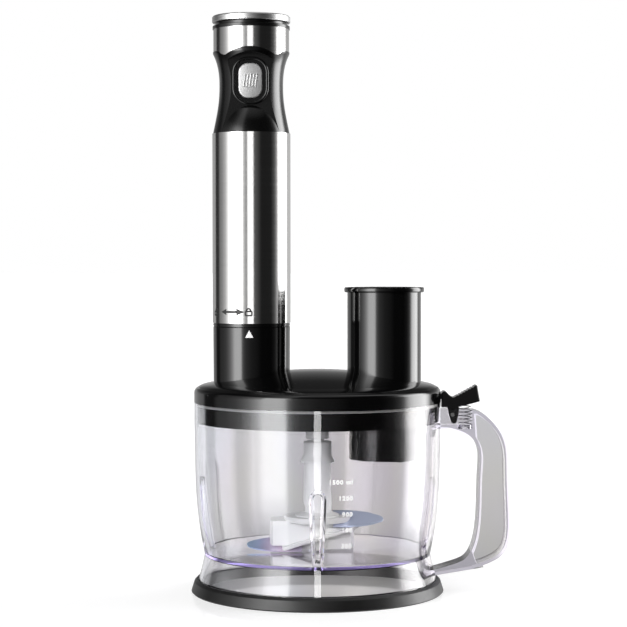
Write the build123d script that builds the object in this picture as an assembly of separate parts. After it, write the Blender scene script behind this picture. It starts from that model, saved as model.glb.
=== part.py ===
from build123d import *
import os
from math import acos, atan2, cos, degrees, pi, radians, sin, tan

# Immersion blender motor unit standing in the lid of its food-processor bowl, in millimetres.
# Origin: the bowl's axis on the table plane.  +Z is up, +X points to the bowl's handle, and -Y is
# the front, where the power button is.

# ---------------------------------------------------------------- driving dimensions
MOTOR_X = -50.5            # axis of the motor unit
CHUTE_X = 51.5             # axis of the feed chute
RUN = 0.05                 # radial clearance of a running fit

BOWL_WALL = 2.5
WAIST = (86.9, 29.4)       # radius and height of the bowl's narrowest place, level with its floor
RIM_R, RIM_Z = 94.6, 146.1
FLOOR_BOTTOM, FLOOR_TOP = 28.3, 31.5
LEDGE_Z = 129.0            # step inside the rim, below the lid's skirt
SKIRT_R = 91.6             # foot of the bowl, held in the base ring
SKIRT_FOOT_Z = 4.0
RIB_ANGLES = (0, 90, 180, 270)
LUG_ANGLES = (-124, -34, 56, 146)

LID_BAND_R = 94.8
DOME_TOP_Z = 170.8
DOME_EDGE = (80.0, 161.1)
LID_WALL = 2.5
LID_SKIRT_R, LID_SKIRT_Z = 92.3, 131.0
GASKET_BORE_R, GASKET_R = 91.4, 92.6
GASKET_Z0, GASKET_Z1 = 143.9, 145.7
KEYWAY_TOP_Z = 143.4

CHUTE_R, CHUTE_TOP_Z = 28.4, 230.2
CHUTE_BORE_R = 25.6
CHUTE_LOW_R, CHUTE_LOW_BORE_R, CHUTE_LOW_Z = 27.2, 25.0, 102.0

COLLAR_R, COLLAR_BORE_R, COLLAR_TOP_Z = 29.6, 26.8, 204.2
BAYONET_LUGS = (30, 150, 270)    # angles of the lugs when locked
BAYONET_TURN = 60
LUG_Z0, LUG_Z1 = 192.0, 196.0

BARREL_R, BARREL_WALL = 30.0, 0.8
BARREL_Z0, BARREL_Z1 = 207.0, 351.9
BAND_R, BAND_BORE_R = 29.0, 28.2
BAND_Z0, BAND_Z1 = 414.0, 431.4
PANEL_Y = -19.5            # flat front of the grip
BUTTON_Z = 390.9
BUTTON_SIZE = (26.5, 18.2)
BUTTON_CORNER = 7.4

GEAR_X, GEAR_Y = MOTOR_X / 2, 16.2          # idler axis, 30 mm from both others
MODULE_1, PINION_TEETH, WHEEL_TEETH = 0.8, 20, 55
MODULE_2, IDLER_TEETH, OUTPUT_TEETH = 1.0, 20, 40

PIVOT_X, PIVOT_Z = 103.5, 136.5             # latch lever's pin
CHANNEL_HALF = 7.4                          # half width of the pocket in the handle
POCKET_END_X = 118.6

SEAM = 21                  # angle at which turned surfaces close, clear of every other feature

os.makedirs("parts", exist_ok=True)


def save(node, *solids):
    """Write one node, keeping separate solids separate."""
    bodies = [body for shape in solids for body in shape.solids()]
    shape = bodies[0] if len(bodies) == 1 else Compound(children=bodies)
    export_step(shape, f"parts/{node}.step")


# ---------------------------------------------------------------- plain shapes
def rod(radius, z0, z1, x=0.0, y=0.0):
    """Upright cylinder."""
    base = (Align.CENTER, Align.CENTER, Align.MIN)
    return Pos(x, y, z0) * Cylinder(radius, z1 - z0, align=base)


def tube(outer, bore, z0, z1, x=0.0, y=0.0):
    return rod(outer, z0, z1, x, y) - rod(bore, z0 - 1, z1 + 1, x, y)


def block(x0, x1, y0, y1, z0, z1):
    centre = Pos((x0 + x1) / 2, (y0 + y1) / 2, (z0 + z1) / 2)
    return centre * Box(x1 - x0, y1 - y0, z1 - z0)


def polar(radius, angle, x=0.0, y=0.0):
    return (x + radius * cos(radians(angle)), y + radius * sin(radians(angle)))


def sector(bore, outer, start, end, z0, z1, x=0.0, y=0.0):
    """Upright piece of a ring between two angles in degrees."""
    middle = (start + end) / 2
    edges = [
        ThreePointArc(*[polar(outer, a, x, y) for a in (start, middle, end)]),
        Line(polar(outer, end, x, y), polar(bore, end, x, y)),
        ThreePointArc(*[polar(bore, a, x, y) for a in (end, middle, start)]),
        Line(polar(bore, start, x, y), polar(outer, start, x, y)),
    ]
    return Pos(0, 0, z0) * extrude(make_face(edges), z1 - z0)


def turned(edges, x=0.0, y=0.0):
    """Solid of revolution, its seam away from the ribs; the outline is in (radius, height)."""
    return Pos(x, y, 0) * (Rot(0, 0, SEAM) * revolve(Plane.XZ * make_face(edges), Axis.Z))


def turned_outline(*points, x=0.0, y=0.0):
    return turned([Polyline(*points, close=True)], x, y)


def side_profile(edges, half_width):
    """Outline in (x, z), extruded to both sides of the middle plane."""
    return extrude(Plane.XZ * make_face(edges), half_width, both=True)


# ---------------------------------------------------------------- bowl
def bowl_outer_edges():
    """Outside of the bowl in (radius, height), from the foot of its skirt to its rim."""
    return [
        Line((SKIRT_R, SKIRT_FOOT_Z), (SKIRT_R, 10.0)),
        Spline([(SKIRT_R, 10.0), (88.7, 20.6), WAIST]),
        Spline([WAIST, (90.2, 47.2), (93.2, 75.0), (94.3, 106.0), (RIM_R, 129.0)]),
        Line((RIM_R, 129.0), (RIM_R, RIM_Z)),
    ]


def bowl_outer_solid():
    closing = Polyline((RIM_R, RIM_Z), (0, RIM_Z), (0, SKIRT_FOOT_Z), (SKIRT_R, SKIRT_FOOT_Z))
    return turned(bowl_outer_edges() + [closing])


def bowl_cavity():
    """The space inside the bowl, up through its rim."""
    corner = 1.2
    wall_r = WAIST[0] - BOWL_WALL
    edges = [
        Line((0, FLOOR_TOP), (wall_r - corner, FLOOR_TOP)),
        Spline(
            [(wall_r - corner, FLOOR_TOP), (wall_r + 0.2, FLOOR_TOP + corner)],
            tangents=[(1, 0), (0.15, 1)],
        ),
        Spline([(wall_r + 0.2, FLOOR_TOP + corner), (87.7, 47.2), (90.7, 75.0), (91.8, 106.0),
                (92.1, LEDGE_Z)]),
        Polyline((92.1, LEDGE_Z), (92.7, LEDGE_Z), (92.7, RIM_Z + 1), (0, RIM_Z + 1),
                 (0, FLOOR_TOP)),
    ]
    return turned(edges)


def skirt_cavity():
    """The hollow under the bowl's floor."""
    foot_r = SKIRT_R - BOWL_WALL
    waist_r = WAIST[0] - BOWL_WALL
    edges = [
        Line((0, 0), (foot_r, 0)),
        Line((foot_r, 0), (foot_r, 10.0)),
        Spline([(foot_r, 10.0), (86.2, 20.6), (waist_r, FLOOR_BOTTOM)]),
        Polyline((waist_r, FLOOR_BOTTOM), (0, FLOOR_BOTTOM), (0, 0)),
    ]
    return turned(edges)


def wall_plane(angle, z):
    """Plane on the bowl's wall that leans out with it, facing away from the axis."""
    lean = 7.2
    radius = 86.4 + (z - 30.0) * tan(radians(lean))
    normal = (cos(radians(lean)), 0, -sin(radians(lean)))
    return Plane(
        origin=Vector(radius, 0, z).rotate(Axis.Z, angle),
        x_dir=Vector(0, 1, 0).rotate(Axis.Z, angle),
        z_dir=Vector(*normal).rotate(Axis.Z, angle),
    )


def rib_outline(angle, depth, half_top, half_foot, z0, z1):
    """Arched outline that narrows to its foot, on the wall's plane moved out by the depth."""
    middle = (z0 + z1) / 2
    foot, top = z0 - middle, z1 - middle
    shoulder = top - half_top * 1.25
    edges = [
        Line((-half_foot, foot), (-half_top, shoulder)),
        Spline([(-half_top, shoulder), (0, top), (half_top, shoulder)],
               tangents=[(0.05, 1), (0.05, -1)]),
        Line((half_top, shoulder), (half_foot, foot)),
        Line((half_foot, foot), (-half_foot, foot)),
    ]
    return wall_plane(angle, middle) * (Pos(0, 0, depth) * make_face(edges))


def mixing_rib(angle, inside):
    """Rib that stands in from the wall and stirs the food back to the blades."""
    near = rib_outline(angle, 3.0, 7.8, 4.6, 30.0, 89.6)
    deep = rib_outline(angle, -6.6, 4.8, 2.9, 30.0, 86.8)
    return loft([near, deep], ruled=True) & inside


def rib_groove(angle):
    """Hollow of a rib, open to the outside."""
    mouth = rib_outline(angle, 6.0, 6.0, 2.8, 33.6, 88.4)
    deep = rib_outline(angle, -4.4, 2.8, 0.9, 35.6, 84.6)
    return loft([mouth, deep], ruled=True)


def make_bowl():
    outer = bowl_outer_solid()
    shell = outer - bowl_cavity() - skirt_cavity()
    above_floor = outer & block(-120, 120, -120, 120, FLOOR_TOP - 1, 120)
    for angle in RIB_ANGLES:
        shell += mixing_rib(angle, above_floor)
        shell -= rib_groove(angle)
    for angle in LUG_ANGLES:
        shell += sector(91.4, 93.0, angle - 3.2, angle + 3.2, 138.5, 143.0)
    boss = rod(7.0, FLOOR_BOTTOM - 2.3, FLOOR_TOP + 0.3)
    shell = shell + boss - rod(3.0, FLOOR_BOTTOM - 0.8, 60)
    return shell


def make_base_ring():
    """Rubber ring with a groove that grips the foot of the skirt."""
    groove_in, groove_out = SKIRT_R - BOWL_WALL - 0.1, SKIRT_R + 0.1
    edges = [Polyline(
        (86.4, 0.0), (96.2, 0.0), (97.2, 1.0), (94.9, 8.2), (93.0, 10.1), (groove_out, 10.1),
        (groove_out, SKIRT_FOOT_Z), (groove_in, SKIRT_FOOT_Z), (groove_in, 10.1), (87.1, 10.1),
        (86.4, 9.4), close=True,
    )]
    return turned(edges)


HANDLE_TOP_Z = 140.3


def handle_back():
    """Outer edge of the handle in (x, z), from the top of its pocket round to the bowl."""
    return Spline([(115.5, HANDLE_TOP_Z), (131.5, 133.6), (143.0, 118.2), (146.3, 92.0),
                   (147.4, 57.0), (146.4, 38.6), (139.2, 26.6), (120.0, 18.4), (85.0, 12.0)],
                  tangents=[(1, 0), (-1, -0.17)])


def handle_front():
    """Inner edge of the handle, which the fingers hold, from the bowl's foot to its rim."""
    return Spline([(85.0, 16.2), (103.5, 21.4), (113.8, 26.2), (118.8, 34.6), (121.7, 47.0),
                   (123.9, 92.0), (123.7, 108.8), (120.9, 115.6), (114.8, 121.1), (106.0, 124.4),
                   (85.0, 125.7)],
                  tangents=[(1, 0.2), (-1, 0)])


def handle_outline():
    """Side view of the handle in (x, z); its ends run into the bowl's wall."""
    return [
        Line((85.0, HANDLE_TOP_Z), (115.5, HANDLE_TOP_Z)),
        handle_back(),
        Line((85.0, 12.0), (85.0, 16.2)),
        handle_front(),
        Line((85.0, 125.7), (85.0, HANDLE_TOP_Z)),
    ]


def inset_points(curve, start, end, count, distance):
    """Points along part of a curve, moved to the right of its direction."""
    points = []
    for step in range(count):
        share = start + (end - start) * step / (count - 1)
        at, way = curve @ share, curve % share
        points.append((at.X + way.Y * distance, at.Y - way.X * distance))
    return points


def handle_recess(rail):
    """Outline of the thin web between the handle's two edge rails and the wall of its pocket."""
    back = inset_points(handle_back(), 0.045, 0.735, 13, rail)
    front = inset_points(handle_front(), 0.225, 0.765, 12, rail)
    return make_face([
        Spline(back),
        Line(back[-1], front[0]),
        Spline(front),
        Polyline(front[-1], (POCKET_END_X + rail, back[0][1]), back[0]),
    ])


def make_handle():
    depth, rail, web = 10.5, 2.6, 1.5
    solid = extrude(Plane.XZ * make_face(handle_outline()), depth, both=True)
    recess = handle_recess(rail)
    for side in (-1, 1):
        start = Pos(0, side * web, 0) * (Plane.XZ * recess)
        solid -= extrude(start, amount=-side * depth)
    solid -= block(60, POCKET_END_X, -CHANNEL_HALF, CHANNEL_HALF, 128.4, 160)
    solid -= rod(5.6, 125.2, 130, 113.6)
    solid -= Pos(PIVOT_X, 0, PIVOT_Z) * Rot(90, 0, 0) * Cylinder(1.5, 40)
    return solid - bowl_outer_solid()


def make_latch_pin():
    return Pos(PIVOT_X, 0, PIVOT_Z) * Rot(90, 0, 0) * Cylinder(1.5, 2 * 10.2)


def make_latch_lever():
    """Y-shaped lever: thumb arm to the right, nose beside the lid's rim, leg down in the pocket."""
    left, half_width = 95.4, CHANNEL_HALF - 0.35
    arm_root, arm_tip = (106.5, 150.5), (121.9, 158.9)
    edges = [
        Polyline((left, 141.9), (left, 153.0), (97.2, 154.4), (98.6, 154.1)),
        Spline([(98.6, 154.1), (101.4, 151.3), (103.6, 149.8), arm_root]),
        Polyline(arm_root, arm_tip, (122.9, 158.5), (124.9, 146.9), (124.5, 146.3),
                 (108.9, 142.1), (108.4, 136.6), (107.2, 131.6)),
        ThreePointArc((107.2, 131.6), (104.7, 129.5), (102.3, 131.8)),
        Polyline((102.3, 131.8), (101.0, 135.8), (99.8, 141.9), (left, 141.9)),
    ]
    lever = side_profile(edges, half_width)
    sides = lever.faces().filter_by(Axis.Y)
    lever = chamfer([edge for side in sides for edge in side.edges()], 0.6)
    arm_angle = degrees(atan2(arm_tip[1] - arm_root[1], arm_tip[0] - arm_root[0]))
    first, pitch, count, size = 2.0, 2.5, 6, 1.3
    for step in range(count):
        along = Pos(first + pitch * step, 0, 0.25) * Rot(0, 45, 0)
        groove = Pos(arm_root[0], 0, arm_root[1]) * Rot(0, -arm_angle, 0) * along
        lever -= groove * Box(size, 40, size)
    lever -= rod(5.8, 130, 143.6, 113.9) & block(108.0, 125, -6, 6, 130, 143.6)
    lever += block(93.9, left + 1, -4.0, 4.0, 148.0, 152.2)
    lever -= Pos(PIVOT_X, 0, PIVOT_Z) * Rot(90, 0, 0) * Cylinder(1.5 + RUN, 40)
    return lever


def make_latch_spring():
    """Compression spring between the pocket's floor and the thumb arm, with squared ends."""
    wire, coil_r, bottom, top, turns = 0.4, 4.6, 125.3, 143.5, 6.5
    height = top - bottom - 2 * wire
    path = Helix(pitch=height / turns, height=height, radius=coil_r)
    section = Plane(origin=path @ 0, z_dir=path % 0) * Circle(wire)
    return Pos(113.6, 0, bottom + wire) * sweep(section, path, is_frenet=True)


# ---------------------------------------------------------------- blade tower
def blade(outline, level, tilt):
    """Scythe-shaped blade, its front edge tilted down."""
    plate = Pos(0, 0, -0.6) * extrude(make_face(outline), 1.2)
    return Pos(0, 0, level) * Rot(tilt, 0, 0) * plate


def make_upper_blade():
    outline = [
        Line((12.0, -19.0), (12.0, 12.0)),
        Spline([(12.0, 12.0), (30.0, 10.5), (44.0, 4.5), (50.6, -4.0), (50.2, -7.4), (44.0, -13.0),
                (32.0, -18.0), (12.0, -19.0)]),
    ]
    return blade(outline, 57.2, 15)


def make_lower_blade():
    outline = [
        Line((-12.0, -22.0), (-12.0, 13.0)),
        Spline([(-12.0, 13.0), (-34.0, 11.5), (-48.0, 3.5), (-54.2, -5.0), (-53.6, -9.0),
                (-46.0, -17.5), (-32.0, -22.5), (-12.0, -22.0)]),
    ]
    return blade(outline, 36.9, 10.5)


def make_blade_tower(blades):
    plate_r, left_r, right_x = 25.5, 36.8, 27.9
    hub = rod(15.0, 33.0, 58.6) + rod(plate_r, 54.4, 58.6)
    left = block(-left_r, 0, -14, 14, 36.0, 55.7) & rod(left_r, 30, 60)
    right = block(0, right_x, -13, 13, 33.0, 50.0) & rod(right_x + 0.6, 30, 60)
    ramp = Pos(4, 0, 43.6) * Rot(0, -17, 0) * Box(64, 44, 2.6)
    ramp = ramp & rod(33.5, 33.0, 58.6)
    hub = hub + left + right + ramp
    hub += turned_outline((0, 58.0), (17.0, 58.0), (17.0, 59.2), (12.0, 61.0), (0, 61.0))
    shaft = turned_outline((0, 60), (10.9, 60), (10.4, 99.4), (0, 99.4))
    bell = turned([
        Polyline((0, 99.4), (13.2, 99.4), (13.3, 100.4)),
        Spline([(13.3, 100.4), (11.6, 103.6), (10.9, 108.0)], tangents=[(-0.6, 1), (0, 1)]),
        Polyline((10.9, 108.0), (10.7, 114.8), (10.2, 115.4), (0, 115.4), (0, 99.4)),
    ])
    tower = hub + shaft + bell
    tower -= rod(3.0 + RUN, 30, 98.0)
    tower -= rod(5.0, 30, 46.0)
    tower -= Pos(0, 0, 103.8) * extrude(RegularPolygon(5.35, 6), 20)
    for plate in blades:
        tower -= plate
    return tower


# ---------------------------------------------------------------- lid
def dome_arc(drop):
    """Dome in (radius, height), from the apex to its edge, lowered by a wall thickness."""
    edge_r, edge_z = DOME_EDGE
    rise = DOME_TOP_Z - edge_z
    curve_r = (edge_r**2 + rise**2) / (2 * rise)
    half_z = DOME_TOP_Z - curve_r + (curve_r**2 - (edge_r / 2) ** 2) ** 0.5
    return ThreePointArc((0, DOME_TOP_Z - drop), (edge_r / 2, half_z - drop), (edge_r, edge_z - drop))


def lid_outer_edges():
    edge_r, edge_z = DOME_EDGE
    return [
        dome_arc(0),
        Spline([(edge_r, edge_z), (88.2, 159.5), (91.8, 157.8)],
               tangents=[(1, -0.24), (0.8, -0.6)]),
        ThreePointArc((91.8, 157.8), (94.0, 156.1), (LID_BAND_R, 153.6)),
        Line((LID_BAND_R, 153.6), (LID_BAND_R, RIM_Z)),
    ]


def lid_envelope():
    """Everything under the lid's outer surface, to cut what stands on the lid."""
    closing = Polyline((LID_BAND_R, RIM_Z), (LID_BAND_R, 100), (0, 100), (0, DOME_TOP_Z))
    return turned(lid_outer_edges() + [closing])


def lid_under_dome():
    """Solid that reaches up to the middle of the dome's wall, to trim posts under the lid."""
    edge_r, edge_z = DOME_EDGE
    drop = LID_WALL / 2
    closing = Polyline((edge_r, edge_z - drop), (90.0, 150), (90.0, 100), (0, 100),
                       (0, DOME_TOP_Z - drop))
    return turned([dome_arc(drop), closing])


def gear_room(extra):
    """Outline round the three gears, in plan."""
    circles = [
        Pos(MOTOR_X, 0) * Circle(11.6 + extra),
        Pos(GEAR_X, GEAR_Y) * Circle(23.6 + extra),
        Circle(21.7 + extra),
    ]
    return make_hull([edge for circle in circles for edge in circle.edges()])


SCREW_SPOTS = ((-68.2, 0.0), (-25.2, 46.0), (-27.5, -22.2), (11.0, -25.0))


def make_lid_shell():
    edge_r, edge_z = DOME_EDGE
    skirt_in = LID_SKIRT_R - 2.2
    edges = lid_outer_edges() + [
        Polyline((LID_BAND_R, RIM_Z), (LID_SKIRT_R, RIM_Z), (LID_SKIRT_R, GASKET_Z1 + 0.1),
                 (GASKET_BORE_R, GASKET_Z1 + 0.1), (GASKET_BORE_R, GASKET_Z0 - 0.1),
                 (LID_SKIRT_R, GASKET_Z0 - 0.1), (LID_SKIRT_R, LID_SKIRT_Z),
                 (skirt_in, LID_SKIRT_Z), (skirt_in, 151.5), (edge_r, edge_z - LID_WALL)),
        dome_arc(LID_WALL),
        Line((0, DOME_TOP_Z - LID_WALL), (0, DOME_TOP_Z)),
    ]
    lid = turned(edges)
    under = lid_under_dome()
    wall = extrude(Pos(0, 0, 134) * (gear_room(2.0) - gear_room(0.0)), 40)
    posts = [rod(4.2, 134, 175, x, y) for x, y in SCREW_SPOTS]
    posts += [
        rod(11.0, 158.0, 175, MOTOR_X),
        rod(7.0, 157.0, 175, GEAR_X, GEAR_Y),
        rod(8.0, 157.0, 175),
    ]
    for post in [wall] + posts:
        lid += post & under
    lid -= rod(CHUTE_R - 0.5, 100, 180, CHUTE_X) - rod(CHUTE_LOW_R - 0.5, 99, 181, CHUTE_X)
    upper = rod(CHUTE_R, 150, CHUTE_TOP_Z, CHUTE_X) - (lid_under_dome() & block(0, 99, -50, 50, 99, 180))
    lid = lid + upper + rod(CHUTE_LOW_R, CHUTE_LOW_Z, 165, CHUTE_X)
    lid -= rod(CHUTE_BORE_R, 163, 240, CHUTE_X)
    lid -= rod(CHUTE_LOW_BORE_R, 90, 170, CHUTE_X)
    lid -= rod(8.0, 150, 172, MOTOR_X)
    lid -= rod(3.0, 150, 163.0, GEAR_X, GEAR_Y)
    lid -= rod(4.0 + RUN, 150, 164.0)
    for x, y in SCREW_SPOTS:
        lid -= rod(1.25, 130, 146, x, y)
    for angle in LUG_ANGLES:
        lid -= sector(90.9, 93.5, angle - 4.2, angle + 4.2, 120, KEYWAY_TOP_Z)
    lid -= block(93.4, 100, -4.6, 4.6, 140, 153.2)
    return lid


def make_coupling_collar():
    collar = turned_outline((COLLAR_R - 0.2, 160), (COLLAR_R, COLLAR_TOP_Z - 0.4),
                            (COLLAR_R - 0.4, COLLAR_TOP_Z), (COLLAR_BORE_R, COLLAR_TOP_Z),
                            (COLLAR_BORE_R, 160), x=MOTOR_X)
    track_r, half = COLLAR_BORE_R + 1.5, 8.8
    for angle in BAYONET_LUGS:
        turn = BAYONET_TURN
        collar -= sector(20, track_r, angle - half, angle + turn + half, LUG_Z0 - 0.3,
                         LUG_Z1 + 0.3, MOTOR_X)
        collar -= sector(20, track_r, angle + turn - half, angle + turn + half, LUG_Z0 - 0.3,
                         COLLAR_TOP_Z + 1, MOTOR_X)
    return collar - lid_envelope()


def make_lid_gasket():
    return tube(GASKET_R, GASKET_BORE_R, GASKET_Z0, GASKET_Z1)


def make_gear_cover():
    plate = extrude(Pos(0, 0, 131.2) * gear_room(2.0), 2.8)
    for x, y in SCREW_SPOTS:
        plate += rod(5.0, 131.2, 134.0, x, y)
    plate += rod(6.5, 133, 140.0, MOTOR_X) + rod(5.0, 133, 135.6, GEAR_X, GEAR_Y)
    plate -= rod(4.0 + RUN, 132.6, 150, MOTOR_X)
    plate -= rod(3.0, 132.4, 150, GEAR_X, GEAR_Y)
    plate -= rod(7.0, 120, 150)
    for x, y in SCREW_SPOTS:
        plate -= rod(1.6, 120, 150, x, y)
    return plate


def screw(x, y, head_z, length, radius, up=True):
    """Pan-head screw; the shank runs up or down from the head's seat."""
    way = 1 if up else -1
    head0, head1 = sorted((head_z, head_z - way * radius * 1.5))
    shank0, shank1 = sorted((head_z, head_z + way * length))
    slot = block(x - 3 * radius, x + 3 * radius, y - 0.4, y + 0.4,
                 *sorted((head_z - way * radius * 1.5, head_z - way * radius * 0.9)))
    return rod(radius * 1.8, head0, head1, x, y) - slot + rod(radius, shank0, shank1, x, y)


# ---------------------------------------------------------------- gears in the lid
def involute_gear(teeth, module, z0, z1, phase=0.0):
    """Spur gear on the Z axis with a tooth centred at the phase angle, in degrees."""
    pressure, backlash = radians(20), 0.14
    pitch_r = module * teeth / 2
    base_r, tip_r, root_r = pitch_r * cos(pressure), pitch_r + 0.92 * module, pitch_r - 1.25 * module

    def involute(angle):
        return tan(angle) - angle

    def half_angle(radius):
        at_pitch = pi / (2 * teeth) - backlash / (2 * pitch_r)
        flank = involute(acos(min(1.0, base_r / radius)))
        return at_pitch + involute(pressure) - flank

    start_r = max(base_r, root_r)
    radii = [start_r, (start_r + pitch_r) / 2, pitch_r, (pitch_r + tip_r) / 2, tip_r]
    if root_r < base_r:
        radii.insert(0, root_r)
    points = []
    for tooth in range(teeth):
        middle = radians(phase) + 2 * pi * tooth / teeth
        for radius in radii:
            turn = middle - half_angle(max(radius, base_r))
            points.append((radius * cos(turn), radius * sin(turn)))
        for radius in reversed(radii):
            turn = middle + half_angle(max(radius, base_r))
            points.append((radius * cos(turn), radius * sin(turn)))
    return Pos(0, 0, z0) * extrude(make_face(Polyline(*points, close=True)), z1 - z0)


def mesh_phase(driver_phase, driver_teeth, driven_teeth, line_angle):
    """Phase of a driven gear that puts a gap where the driver has a tooth."""
    turn = driver_teeth * (driver_phase - line_angle)
    return line_angle + 180 + (180 - turn) / driven_teeth


def make_gears():
    first_line = degrees(atan2(GEAR_Y, GEAR_X - MOTOR_X))
    second_line = degrees(atan2(-GEAR_Y, -GEAR_X))
    wheel_phase = mesh_phase(0.0, PINION_TEETH, WHEEL_TEETH, first_line)
    output_phase = mesh_phase(0.0, IDLER_TEETH, OUTPUT_TEETH, second_line)
    pinion = Pos(MOTOR_X, 0, 0) * involute_gear(PINION_TEETH, MODULE_1, 147.0, 155.4)
    pinion -= rod(4.0, 140, 160, MOTOR_X)
    wheel = involute_gear(WHEEL_TEETH, MODULE_1, 148.0, 154.6, wheel_phase)
    for hole in range(6):
        wheel -= rod(3.2, 140, 160, *polar(15.0, 60 * hole))
    small = involute_gear(IDLER_TEETH, MODULE_2, 136.0, 148.5)
    idler = Pos(GEAR_X, GEAR_Y, 0) * (wheel + small)
    idler -= rod(3.0 + RUN, 120, 170, GEAR_X, GEAR_Y)
    output = involute_gear(OUTPUT_TEETH, MODULE_2, 137.2, 145.2, output_phase)
    output -= rod(17.0, 142.8, 150) - rod(7.5, 140, 151)
    output = output + rod(6.2, 145, 146.8) - rod(4.0, 120, 170)
    return pinion, idler, output


def make_input_shaft():
    """Shaft of the lid's gearbox, with three driving lugs on top."""
    flange_z, lug_top = 179.5, 185.5
    shaft = rod(4.0, 133.0, 178, MOTOR_X) + rod(10.0, 176.0, flange_z, MOTOR_X)
    for lug in range(3):
        shaft += sector(4.5, 9.5, 120 * lug - 10, 120 * lug + 10, flange_z - 0.5, lug_top, MOTOR_X)
    return shaft


def make_output_shaft():
    shaft = rod(4.0, 125.0, 163.5) + turned_outline((0, 117.6), (8.4, 117.6), (9.0, 118.4),
                                                    (9.0, 130.8), (0, 130.8))
    return shaft + Pos(0, 0, 105.5) * extrude(RegularPolygon(5.1, 6), 12.5)


# ---------------------------------------------------------------- pusher
def make_pusher():
    flange_z0, flange_z1, flange_r = CHUTE_TOP_Z, 234.1, 30.8
    body_r, cup_r = 24.5, 22.5
    edges = [
        Polyline((0, 112.0), (body_r - 1.5, 112.0), (body_r, 113.5), (body_r, flange_z0),
                 (flange_r - 0.5, flange_z0)),
        ThreePointArc((flange_r - 0.5, flange_z0), (flange_r, (flange_z0 + flange_z1) / 2),
                      (flange_r - 0.5, flange_z1)),
        Polyline((flange_r - 0.5, flange_z1), (28.4, flange_z1), (27.6, 233.2), (cup_r + 0.8, 232.6),
                 (cup_r, 231.4), (cup_r, 115.5), (0, 115.5), (0, 112.0)),
    ]
    return turned(edges, x=CHUTE_X)


# ---------------------------------------------------------------- motor unit, outside
def make_bayonet_nose():
    nose = turned_outline((10.5, 188.0), (25.6, 188.0), (26.4, 188.8), (26.4, 204.4), (29.2, 204.4),
                          (29.2, 207.0), (29.1, 207.0), (29.1, 213.0), (27.2, 213.0), (24.0, 209.0),
                          (24.0, 190.6), (10.5, 190.6), x=MOTOR_X)
    nose -= tube(30, 28.4, 205.2, 206.1, MOTOR_X)
    for angle in BAYONET_LUGS:
        nose += sector(25.0, 28.0, angle - 8, angle + 8, LUG_Z0, LUG_Z1, MOTOR_X)
    return nose


def make_trim_ring():
    return tube(29.7, 28.4, 205.2, 206.1, MOTOR_X)


def make_barrel_sleeve():
    return tube(BARREL_R, BARREL_R - BARREL_WALL, BARREL_Z0, BARREL_Z1, MOTOR_X)


def band_zone():
    """Space above the steel band's wavy lower edge; the edge dips and arches at the front."""
    top, side = 450, 40
    front = [
        Line((-side, BAND_Z0), (-27.5, BAND_Z0)),
        Spline([(-27.5, BAND_Z0), (-23.5, 412.4), (-18.8, 410.4)], tangents=[(1, 0), (1, 0.1)]),
        ThreePointArc((-18.8, 410.4), (0, 416.1), (18.8, 410.4)),
        Spline([(18.8, 410.4), (23.5, 412.4), (27.5, BAND_Z0)], tangents=[(1, -0.1), (1, 0)]),
        Polyline((27.5, BAND_Z0), (side, BAND_Z0), (side, top), (-side, top), (-side, BAND_Z0)),
    ]
    zone = Pos(MOTOR_X, 0, 0) * extrude(Plane.XZ * make_face(front), side)
    return zone + block(MOTOR_X - side, MOTOR_X + side, 0, side, BAND_Z0, top)


def make_upper_band(zone):
    return tube(BAND_R, BAND_BORE_R, 405, BAND_Z1, MOTOR_X) & zone


def grip_outside():
    """Waisted grip as a solid of revolution."""
    edges = [
        Line((0, 345.0), (28.6, 345.0)),
        Line((28.6, 345.0), (28.6, BARREL_Z1)),
        Line((28.6, BARREL_Z1), (29.4, BARREL_Z1)),
        Spline([(29.4, BARREL_Z1), (27.3, 362.1), (24.9, 377.0), (24.4, 387.0), (25.3, 400.6),
                (28.9, 411.8)]),
        Polyline((28.9, 411.8), (29.3, 412.8), (29.3, 418.0), (BAND_BORE_R, 418.0),
                 (BAND_BORE_R, BAND_Z1), (0, BAND_Z1), (0, 345.0)),
    ]
    return turned(edges, x=MOTOR_X)


def panel_apron():
    """Foot of the grip's front, a turned surface that the flat panel runs out on."""
    edges = [
        Line((0, 340.0), (29.4, 340.0)),
        Line((29.4, 340.0), (29.4, BARREL_Z1)),
        Spline([(29.4, BARREL_Z1), (28.2, 356.0), (25.8, 362.0), (22.7, 367.6), (19.3, 372.6)]),
        Polyline((19.3, 372.6), (0, 372.6), (0, 340.0)),
    ]
    return turned(edges, x=MOTOR_X)


def panel_cut():
    """Flat front of the grip: arched at the top and run out on the apron below."""
    depth = block(MOTOR_X - 40, MOTOR_X + 40, -45, PANEL_Y, 340, 425) - panel_apron()
    half, top_z, apex_z = 16.8, 407.0, 412.2
    front_view = [
        Spline([(-29.5, 344.0), (-26.5, 352.0), (-17.8, 374.0), (-half, 388.0)]),
        Line((-half, 388.0), (-half, top_z)),
        ThreePointArc((-half, top_z), (0, apex_z), (half, top_z)),
        Line((half, top_z), (half, 388.0)),
        Spline([(half, 388.0), (17.8, 374.0), (26.5, 352.0), (29.5, 344.0)]),
        Line((29.5, 344.0), (-29.5, 344.0)),
    ]
    width = Pos(MOTOR_X, 0, 0) * extrude(Plane.XZ * make_face(front_view), 45)
    return depth & width


def button_outline(grow, y0, y1):
    """Oblong of the button with round corners, along Y; it grows by the given width."""
    height, width = BUTTON_SIZE
    outline = RectangleRounded(width + grow, height + grow, BUTTON_CORNER + grow / 2)
    plane = Plane(origin=(MOTOR_X, y0, BUTTON_Z), x_dir=(1, 0, 0), z_dir=(0, 1, 0))
    return extrude(plane * outline, y1 - y0)


BEZEL_GROW = 9.4


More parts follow.
